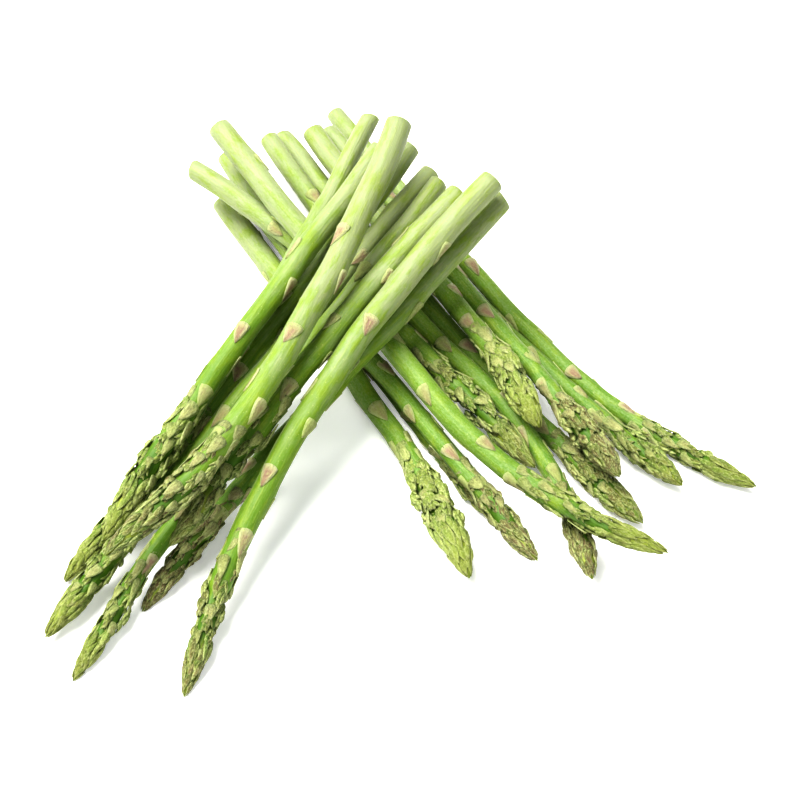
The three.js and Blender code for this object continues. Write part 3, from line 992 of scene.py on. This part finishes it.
def bud(spear, chance, place, turn, long, broad, level):
    """A body that grows from the core, with a heap of small almonds over it, their tips splayed."""
    pieces = []
    width = float(outer_radius(spear, min(place / spear["reach"], 1)))
    base = max(width * level, BUD_BASE_LEAST)
    splay = chance.uniform(*BUD_SPLAY)
    bud_tone = chance.random()
    core = float(core_radius(spear, place / spear["reach"]))
    body = (level * base - BUD_SKIN - core) / BODY_HIGH
    if body > BUD_LEAST:
        pieces.append(wrap(
            spear, scale_blank, bud_tone, place, turn, long * BODY_LONG, broad * BODY_BROAD, body,
            lambda t: core + body / 2,
        ))
    for row in BUD_ROWS:
        for column in BUD_COLUMNS:
            side = column * COLUMN_STEP + chance.uniform(-COLUMN_SCATTER, COLUMN_SCATTER)
            high = broad * chance.uniform(*ALMOND_HIGH)
            almond_long = long * chance.uniform(*ALMOND_LONG)
            arched = place - ROW_STEP * row * long - ROW_ARCH * long * abs(side)
            almond_at = arched + chance.uniform(-ROW_SCATTER, ROW_SCATTER)
            fall = MOUND * (side * side + MOUND_ROWS * row * row) * chance.uniform(*MOUND_VARIES)
            share = (level * base - fall) / base
            tone = mix(bud_tone, chance.random(), ALMOND_TONE)
            almond_turn = turn + side * broad / 2 / base
            almond_broad = broad * chance.uniform(*ALMOND_BROAD)
            pieces.append(wrap(
                spear, scale_blank, tone, almond_at, almond_turn, almond_long, almond_broad, high,
                lambda t, share=share, high=high: outer_radius(spear, t) * share - high,
                twist=-side * ALMOND_FAN + chance.uniform(-ALMOND_TWIST, ALMOND_TWIST),
                lean=splay * chance.uniform(*ALMOND_LEAN),
                roll=-side * chance.uniform(*ALMOND_ROLL),
            ))
    return pieces


def over_bud(spear, level, foot, long):
    """The lie of a leaf that rises from the core at its foot and out over its bud."""
    def ground(t):
        share = np.sqrt(np.clip((t * spear["reach"] - foot) / long, 0, 1))
        outside = outer_radius(spear, t) * min(level, OVER_BUD_MOST) - OVER_BUD_SUNK
        return mix(core_radius(spear, t), outside, share)

    return ground


def buds_of(spear, zone, chance):
    """Side buds from the closed tip down to the neck. On a loose head they stand further apart."""
    pieces = []
    openness = spear["open"]
    buds = round(mix(BUDS_TIGHT, BUDS_OPEN, openness) * math.sqrt(spear["head"] / USUAL_HEAD))
    for i in range(buds):
        share = (i + BUD_FIRST) / buds
        crowded = share ** mix(CROWDING_TIGHT, CROWDING_OPEN, openness)
        place = spear["reach"] - mix(zone * BUD_OVERLAP, spear["head"], crowded)
        long = mix(*BUD_LONG, share) * chance.uniform(*BUD_LONGER)
        broad = mix(*BUD_BROAD, share) * chance.uniform(*BUD_BROADER) * spear["wide"] / USUAL_WIDE
        turn = math.radians(i * GOLDEN_ANGLE + BUD_START + chance.uniform(-BUD_SCATTER, BUD_SCATTER))
        level = chance.uniform(*BUD_LEVELS)
        pieces += bud(spear, chance, place, turn, long, broad, level)
        if chance.random() > mix(*HEAD_LEAF_CHANCE, share):
            continue
        leaf_long = mix(*HEAD_LEAF_LONG, share) * chance.uniform(*HEAD_LEAF_LONGER)
        leaf_at = place - long * HEAD_LEAF_BACK
        tone = chance.random()
        leaf_turn = turn + chance.uniform(-HEAD_LEAF_SWING, HEAD_LEAF_SWING)
        leaf_broad = broad * chance.uniform(*HEAD_LEAF_BROAD)
        pieces.append(wrap(
            spear, leaf_blank, tone, leaf_at, leaf_turn, leaf_long, leaf_broad, HEAD_LEAF_HIGH,
            over_bud(spear, level, leaf_at - leaf_long / 2, leaf_long),
            twist=chance.uniform(-HEAD_LEAF_TWIST, HEAD_LEAF_TWIST),
            lean=mix(*HEAD_LEAF_LEAN, share) * chance.random(),
            dry=HEAD_LEAF_DRY,
        ))
    return pieces


# ---- Each spear, put together and laid in the bunch -------------------------------------------------
# Stem, leaves and head have grown as one, so they are joined in one piece. It is bent along its line and
# set down on those below it, with whatever comes under the surface's level pressed flat.
SPEAR_SEED = 100
WANDER = 0.25
WANDER_LONG = 7
WANDER_WAVES = (1, 1.3)
LINE_STEP = 0.01
LOWEST = 0.02
MM_IN_M = 1000


def bend_onto(spear, points):
    """The points of an upright spear, carried over onto its line in the bunch."""
    t = points[:, 2] / spear["reach"]

    def line(t):
        waves = np.outer(t * spear["reach"] / WANDER_LONG, WANDER_WAVES) + spear["phase"]
        plan = plan_at(spear, t) + WANDER * np.sin(waves)
        return np.concatenate([plan, height_at(spear, t)[:, None]], axis=1)

    ahead = line(t + LINE_STEP) - line(t - LINE_STEP)
    ahead /= np.linalg.norm(ahead, axis=1)[:, None]
    left = np.cross((0, 0, 1), ahead)
    left /= np.linalg.norm(left, axis=1)[:, None]
    over = np.cross(ahead, left)
    return line(t) + left * points[:, :1] + over * points[:, 1:2]


scatter = scatter_from(SCATTER_SEED)
for seed, spear in enumerate(spears, start=SPEAR_SEED):
    chance = random.Random(seed)
    spear["phase"] = np.array([chance.uniform(0, PHASE_SPAN), chance.uniform(0, PHASE_SPAN)])
    zone = spear["head"] * mix(TIP_ZONE_TIGHT, TIP_ZONE_OPEN, spear["open"])
    joints = stem_joints(spear, scatter)
    stem = stem_of(spear, joints, chance)
    pieces = stem_leaves(spear, joints, chance)
    pieces += closed_tip(spear, zone, chance)
    pieces += buds_of(spear, zone, chance)
    bpy.ops.object.select_all(action="DESELECT")
    for piece in [stem, *pieces]:
        piece.select_set(True)
    bpy.context.view_layer.objects.active = stem
    bpy.ops.object.join()
    stem.name = spear["node"].replace("_spear_", "_asparagus_")
    stem.data.name = stem.name
    points = corners_of(stem)
    note(stem, "along", points[:, 2] / spear["reach"])
    for what in ("pale", "blush", "waxy"):
        note_all_over(stem, what, spear[what])
    points = bend_onto(spear, points) - np.array([*MIDDLE, 0])
    points[:, 2] = np.maximum(points[:, 2], LOWEST)
    set_corners(stem, points / MM_IN_M)
    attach(stem, "root")
    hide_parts(spear["node"])

for blank in (stem_blank, leaf_blank, scale_blank):
    bpy.data.objects.remove(blank, do_unlink=True)
